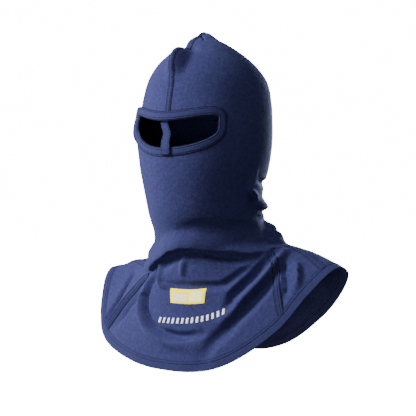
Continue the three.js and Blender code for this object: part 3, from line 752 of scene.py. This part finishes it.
# Eye opening
eye = {
    "drop": 131.0,        # crown to the middle of the opening
    "span": 120.0,
    "tall": 43.0,
    "rise": (17.0, 12.0),    # the ends curve up, wearer's right and left
    "corner": 4.0,        # roundness, 2 is an ellipse
    "band": 9.8,
    "proud": 1.3,
    "deep": 3.0,
    "steps": 150,
    "facing": 80,            # degrees round from the front that are looked at for it
    "turned": (28.0, -50.0, 12.0),   # degrees that the wearer's right end stands up, and where
    "insets": (2.0, 1.6),    # rows of stitches, in from the two edges
    "groove": 0.55,
    "edgeShadow": (0.2, 0.25, 1.3),    # painted shadow line along each edge: how far out, high and wide
}
shareAtLevel = smoothThrough(-levelAt(np.linspace(0, 1, 120)), np.linspace(0, 1, 120))


def eyeRise(x):
    return np.where(x < 0, *eye["rise"]) * (2 * x / eye["span"])**2


def eyePlace(x, z):
    # how far a place on the face lies into the opening: below 1 is inside it
    over = np.abs(x) / (eye["span"] / 2)
    high = np.abs(z + eye["drop"] - eyeRise(x)) / (eye["tall"] / 2)
    return over**eye["corner"] + high**eye["corner"]


def eyeLine():
    turn = np.linspace(0, 2 * np.pi, eye["steps"], endpoint=False)
    power = eye["corner"]
    square = (np.abs(np.cos(turn))**power + np.abs(np.sin(turn))**power)**(1 / power)
    x = eye["span"] / 2 * np.cos(turn) / square
    level = eye["drop"] - eyeRise(x) - eye["tall"] / 2 * np.sin(turn) / square
    share = shareAtLevel(level)
    angle = np.degrees(np.arcsin(x / wideAt(share)))
    return angle, share


# The body and the gussets
def hoodCloth():
    cells = (gridTop.shape[0] - 1, gridTop.shape[1])
    keep = np.ones(cells, bool)
    middleAngle = gridAngles + (np.roll(gridAngles, -1, 1) - gridAngles) / 2
    plain = plainForm(gridAngles, gridAll)
    middle = (plain[:-1] + plain[1:] + np.roll(plain, -1, 1)[:-1] + np.roll(plain, -1, 1)[1:]) / 4
    facing = np.abs((middleAngle[:-1] + 180) % 360 - 180) < eye["facing"]
    keep &= ~(facing & (eyePlace(middle[..., 0], middle[..., 2]) < 1))
    for side, top in gussetTop.items():
        first, last = gussetColumns(side)
        keep[gridShares[:-1] >= top - 1e-6, first:last] = False
    return sheetPiece("hood_cloth", gridTop, gridUnder, bodyKnit, True, keep)


def gussetColumns(side):
    if side == "left":
        return gridLines["leftFront"], gridLines["leftRear"]
    return gridLines["rightRear"], gridLines["rightFront"]


def gussetCloth(side):
    first, last = gussetColumns(side)
    rows = gridShares >= gussetTop[side] - 1e-6
    top = gridTop[rows, first:last + 1]
    under = gridUnder[rows, first:last + 1]
    return sheetPiece("gusset_cloth_" + side, top, under, gussetKnit)


hoodPiece = hoodCloth()
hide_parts("hood_body")
gussetPieces = {}
for side in ("left", "right"):
    gussetPieces[side] = gussetCloth(side)
    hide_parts("gusset_" + side)
print("cloth made:", len(hoodPiece.data.polygons), "faces in the body")


# Bands
bandShape = {"edge": 0.4, "grooveWidth": 0.55, "footWidth": 0.94, "footStep": 3}


def roundedBand(width, proud, deep, grooves, grooveDeep, steps=26):
    # section of a folded band: rounded edges, a groove under each row of stitches
    over = np.linspace(-0.5, 0.5, steps) * width
    edge = np.clip((width / 2 - np.abs(over)) / (proud + bandShape["edge"]), 0, 1)
    high = proud * np.sqrt(1 - (1 - edge)**2)
    for groove in grooves:
        high = high - grooveDeep * np.exp(-((over - groove) / bandShape["grooveWidth"])**2)
    top = list(zip(over, high))
    low = list(zip(over[::-1] * bandShape["footWidth"], np.full(steps, -deep)))
    low = low[::bandShape["footStep"]]
    return np.array(top + low)


def eyeBinding():
    angle, share = eyeLine()
    points, normals = clothSpots(angle, share)
    frames = lineFrames(points, normals, True)
    half = eye["band"] / 2
    turned, middle, reach = eye["turned"]
    tilt = np.radians(turned) * np.exp(-((angle - middle) / reach)**2)
    tilt = tilt[:, None] * (1 if frames[2][len(angle) // 4][2] > 0 else -1)
    points, ups, sides, run = frames
    points = points + ups * half * np.abs(np.sin(tilt))
    frames = (points, ups * np.cos(tilt) - sides * np.sin(tilt),
              sides * np.cos(tilt) + ups * np.sin(tilt), run)
    rows = (-half + eye["insets"][0], half - eye["insets"][1])
    section = roundedBand(eye["band"], eye["proud"], eye["deep"], rows, eye["groove"], 34)
    band = sweptPiece("eye_band", sectionAlong(frames, section), bandKnit, True)
    lines = [stitchRow(frames, over, eye["proud"] - stitch["rowDeep"], True) for over in rows]
    # painted shade lines in the groove under each row, and painted shadow along each edge of the
    # band
    shadeLineHigh = eye["proud"] - stitch["shadeLineDeep"]
    lines += [paintedShadeLine(frames, over, shadeLineHigh, stitch["line"], True) for over in rows]
    out, high, wide = eye["edgeShadow"]
    lines += [paintedShadeLine(frames, side * (half + out), high, wide, True) for side in (-1, 1)]
    threads = stitchPiece("eye_stitches_and_shade", lines, thread)
    return band, threads


eyeBand, eyeThreads = eyeBinding()
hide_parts("eye_binding")
print("eye binding made")

crown = {
    "width": 5.2,
    "proud": 0.8,
    "deep": 0.8,
    "lean": 1.2,
    "start": 0.252,
    "top": 0.004,
    "spots": (90, 260),        # up the front, down the back
    "step": 2.2,
    "inset": 1.1,
    "groove": 0.25,
    "edges": ((-2.7, 0.9), (2.9, 1.8)),      # painted shadow lines beside it: where, how wide
    "edgeShadowHigh": 0.5,
}


def crownSeam():
    front, rear = crown["spots"]
    rising = np.linspace(crown["start"], crown["top"], front)
    falling = np.linspace(crown["top"], hemTop, rear)
    angle = np.concatenate([np.full(front, crown["lean"]), np.full(rear, 180.0)])
    points, normals = clothSpots(angle, np.concatenate([rising, falling]))
    points, normals = resample(points, normals, crown["step"])
    frames = lineFrames(points, normals)
    half = crown["width"] / 2
    rows = (-half + crown["inset"], half - crown["inset"])
    section = roundedBand(crown["width"], crown["proud"], crown["deep"], rows, crown["groove"], 22)
    band = sweptPiece("crown_seam_strip", sectionAlong(frames, section, True), bandKnit)
    rowHigh = crown["proud"] - crown["groove"]
    lines = [stitchRow(laidLine(frames, over), 0, rowHigh) for over in rows]
    # painted shadow beside each edge of the strip
    for over, width in crown["edges"]:
        lines.append(paintedShadeLine(laidLine(frames, over), 0, crown["edgeShadowHigh"], width))
    threads = stitchPiece("crown_stitches_and_shade", lines, thread)
    return band, threads


crownBand, crownThreads = crownSeam()
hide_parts("crown_seam")
print("crown seam made")

seamStrip = {
    "width": 8.0,
    "proud": 1.3,
    "deep": 0.8,
    "step": 2.0,
    "rows": (-1.2, 2.6),
    "groove": 0.4,
    "start": 0.012,            # below the gusset's top
    "end": 0.004,              # past the hem's top
    "spots": 70,
    "rowHigh": 1.0,
    "line": (0.95, 0.8),       # painted shade line under a row: how high and wide
    "edgeShadow": (0.1, 0.4, 1.2),     # and painted shadow along each edge: how far out, high and wide
}


def gussetSeam(node, line, top):
    last = hemTop + seamStrip["end"]
    share = np.linspace(top + seamStrip["start"], last, seamStrip["spots"])
    points, normals = clothSpots(seamAngle[line](share), share)
    points, normals = resample(points, normals, seamStrip["step"])
    frames = lineFrames(points, normals)
    half = seamStrip["width"] / 2
    rows = seamStrip["rows"]
    section = roundedBand(seamStrip["width"], seamStrip["proud"], seamStrip["deep"], rows,
                          seamStrip["groove"], 30)
    band = sweptPiece(node + "_strip", sectionAlong(frames, section, True), bandKnit)
    threads = []
    for over in rows:
        laid = laidLine(frames, over)
        threads.append(stitchRow(laid, 0, seamStrip["rowHigh"]))
        # painted shade line in the groove under the row
        threads.append(paintedShadeLine(laid, 0, *seamStrip["line"]))
    # painted shadow beside each edge of the strip
    out, high, wide = seamStrip["edgeShadow"]
    for over in (-half - out, half + out):
        threads.append(paintedShadeLine(laidLine(frames, over), 0, high, wide))
    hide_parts(node)
    return threads


for side in ("left", "right"):
    rows = []
    for end in ("front", "rear"):
        rows += gussetSeam("seam_" + side + "_" + end, side + end.capitalize(), gussetTop[side])
    stitchPiece("gusset_stitches_and_shade_" + side, rows, thread)
print("gusset seams made")

hemBand = {
    "proud": 0.7,
    "wall": 3.2,
    "rows": (1.3, 4.9),        # from the top
    "columns": 420,
    "over": 0.6,               # how far the top edge laps over the cloth
    "edge": 1.2,
    "groove": 0.5,
}


def hemBinding():
    angle = np.linspace(-180, 180, hemBand["columns"], endpoint=False)
    middle = (1 + hemTop) / 2
    points, normals = clothSpots(angle, middle)
    below, _ = clothSpots(angle, 1.0)
    above, _ = clothSpots(angle, hemTop)
    fall = below - above
    side = unit(fall)
    frames = ((below + above) / 2, unit(np.cross(side, np.cross(normals, side))), side, side)
    half = hem["width"] / 2
    over = np.linspace(-half - hemBand["over"], half, 30)
    edge = np.clip((half - np.abs(over)) / hemBand["edge"], 0, 1)
    high = hemBand["proud"] * np.sqrt(np.clip(1 - (1 - edge)**2, 0, 1))
    for row in hemBand["rows"]:
        gap = (over + half - row) / bandShape["grooveWidth"]
        high = high - hemBand["groove"] * np.exp(-gap**2)
    inside = hemBand["proud"] - hemBand["wall"]
    low = inside + (hemBand["proud"] - high)
    section = np.array(list(zip(over, high)) + list(zip(over[::-1], low[::-1])))
    grid = sectionAlong(frames, section)
    band = sweptPiece("hem_band", grid, bandKnit, True)
    run = unit(np.roll(points, -1, 0) - np.roll(points, 1, 0))
    rows = []
    for row in hemBand["rows"]:
        path = frames[0] + side * (row - half)
        lines = (path, frames[1], side, run)
        rows.append(stitchRow(lines, 0, hemBand["proud"] - stitch["rowDeep"], True))
        # painted shade line in the groove under each row
        shadeLineHigh = hemBand["proud"] - stitch["shadeLineDeep"]
        rows.append(paintedShadeLine(lines, 0, shadeLineHigh, stitch["line"], True))
        rows.append(stitchRow(lines, 0, inside + stitch["rowDeep"], True))
    return band, stitchPiece("hem_stitches_and_shade", rows, thread)


hemPiece, hemThreads = hemBinding()
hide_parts("hem_binding")
print("hem made")

# Nose strap
strap = {
    "width": 10.8,
    "wall": 2.2,
    "lap": 7.5,
    "lapEnd": 1.5,             # how far past the band's inner edge it is held
    "seat": 1.6,
    "clear": 0.3,
    "top": -6.5,
    "foot": 3.5,
    "free": (0.16, 0.68),      # where the part between the bands starts, and its share
    "bow": 2.4,
    "bowAt": 0.42,
    "bowSpread": 0.25,
    "sag": 1.5,
    "flare": 0.22,
    "inset": 1.4,
    "groove": 0.4,
    "rowDeep": 0.3,
    "steps": 60,
}


def noseStrap():
    angle, share = eyeLine()
    points, normals = clothSpots(angle, share)
    frames = lineFrames(points, normals, True)
    upper = eye["steps"] // 4
    lower = 3 * eye["steps"] // 4
    half = eye["band"] / 2
    behind = -eye["deep"] - strap["seat"] - strap["wall"] / 2
    before = eye["proud"] + strap["clear"] + strap["wall"] / 2

    def place(k, lean, out, high):
        spot = frames[0][k] + frames[2][k] * out + frames[1][k] * high
        return spot + np.array([lean, 0, 0])

    outward = 1 if (frames[2][upper][2] > 0) else -1
    stops = np.array([
        place(upper, strap["top"], outward * (strap["lap"] - half), behind),
        place(upper, strap["top"], outward * (-half - strap["lapEnd"]), behind),
        place(lower, strap["foot"], outward * (-half - strap["lapEnd"]), before),
        place(lower, strap["foot"], outward * (strap["lap"] - half), before),
    ])
    t = np.linspace(0, 1, strap["steps"])
    lengths = np.concatenate([[0], np.cumsum(np.linalg.norm(np.diff(stops, axis=0), axis=1))])
    path = np.stack([smoothThrough(lengths / lengths[-1], stops[:, k])(t) for k in range(3)], -1)
    inside = np.clip((t - strap["free"][0]) / strap["free"][1], 0, 1)
    bow = np.sin(np.pi * inside)**2
    shift = np.exp(-((inside - strap["bowAt"]) / strap["bowSpread"])**2) * bow
    path[:, 0] += strap["bow"] * shift
    path[:, 1] += strap["sag"] * bow
    run = np.gradient(path, axis=0)
    side = np.array([1.0, 0, 0]) * (1 + strap["flare"] * t**2)[:, None]
    up = unit(np.cross(run, side))
    if up[len(up) // 2][1] > 0:
        up = -up
    frames = (path, up, side, unit(run))
    rows = (-strap["width"] / 2 + strap["inset"], strap["width"] / 2 - strap["inset"])
    deep = strap["wall"] / 2
    section = roundedBand(strap["width"], deep, deep, rows, strap["groove"], 26)
    band = sweptPiece("nose_strap_band", sectionAlong(frames, section), bandKnit)
    threads = stitchPiece("strap_stitches", [
        stitchRow(frames, over, deep - strap["rowDeep"]) for over in rows
    ], thread)
    return band, threads


strapBand, strapThreads = noseStrap()
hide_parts("nose_strap")
print("nose strap made")

# Label and the stitched bars below it, both plain
label = {
    "corners": ((-9.0, 0.709), (17.0, 0.722), (14.6, 0.768), (-7.4, 0.757)),
    "rim": 0.35,               # share of the height along the edge
    "under": 0.5,
    "parts": [
        # name, material, from and to across, from and to down, how proud
        ("label_woven", labelYellow, 0.0, 1.0, 0.0, 1.0, 0.75),
        ("label_block", labelGrey, 0.07, 0.54, 0.30, 0.88, 0.95),
        ("label_field", labelCream, 0.58, 0.94, 0.16, 0.88, 0.92),
    ],
}
bars = {
    "from": -15.0,
    "to": 25.5,
    "share": 0.819,
    "count": 14,
    "width": 3.0,
    "tall": 6.6,
    "slant": 1.3,
    "proud": 0.7,
}


def onLabel(over, down):
    a, b, c, d = (np.array(corner) for corner in label["corners"])
    over, down = over[..., None], down[..., None]
    spot = (a * (1 - over) + b * over) * (1 - down) + (d * (1 - over) + c * over) * down
    return spot[..., 0], spot[..., 1]


def patch(name, material, angle, share, proud):
    points, normals = clothSpots(angle, share)
    rim = np.ones(angle.shape)
    rim[0] = rim[-1] = rim[:, 0] = rim[:, -1] = label["rim"]
    top = points + normals * (proud * rim)[..., None]
    return sheetPiece(name, top, points - normals * label["under"], material)


for name, material, left, right, upper, lower, proud in label["parts"]:
    over, down = np.meshgrid(np.linspace(left, right, 25), np.linspace(upper, lower, 13))
    piece = patch(name, material, *onLabel(over, down), proud)
    if name == "label_woven":
        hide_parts("label_patch")

degree = float(wideAt(bars["share"])) * math.radians(1)
for k in range(bars["count"]):
    middle = bars["from"] + (bars["to"] - bars["from"]) * (k + 0.5) / bars["count"]
    over, down = np.meshgrid(np.linspace(-0.5, 0.5, 5), np.linspace(-0.5, 0.5, 7))
    angle = middle + (over * bars["width"] - down * bars["slant"]) / degree
    share = bars["share"] + down * bars["tall"] / hemUnit
    patch("chest_bar_%02d" % (k + 1), whiteThread, angle, share, bars["proud"])
print("label and bars made")


# Sheets of cloth, with the size each was cut to
def spread(piece):
    area = sum(face.area for face in piece.data.polygons)
    return area / 2


for piece in (hoodPiece, gussetPieces["left"], gussetPieces["right"]):
    print(piece.name, "area", round(spread(piece), 4))
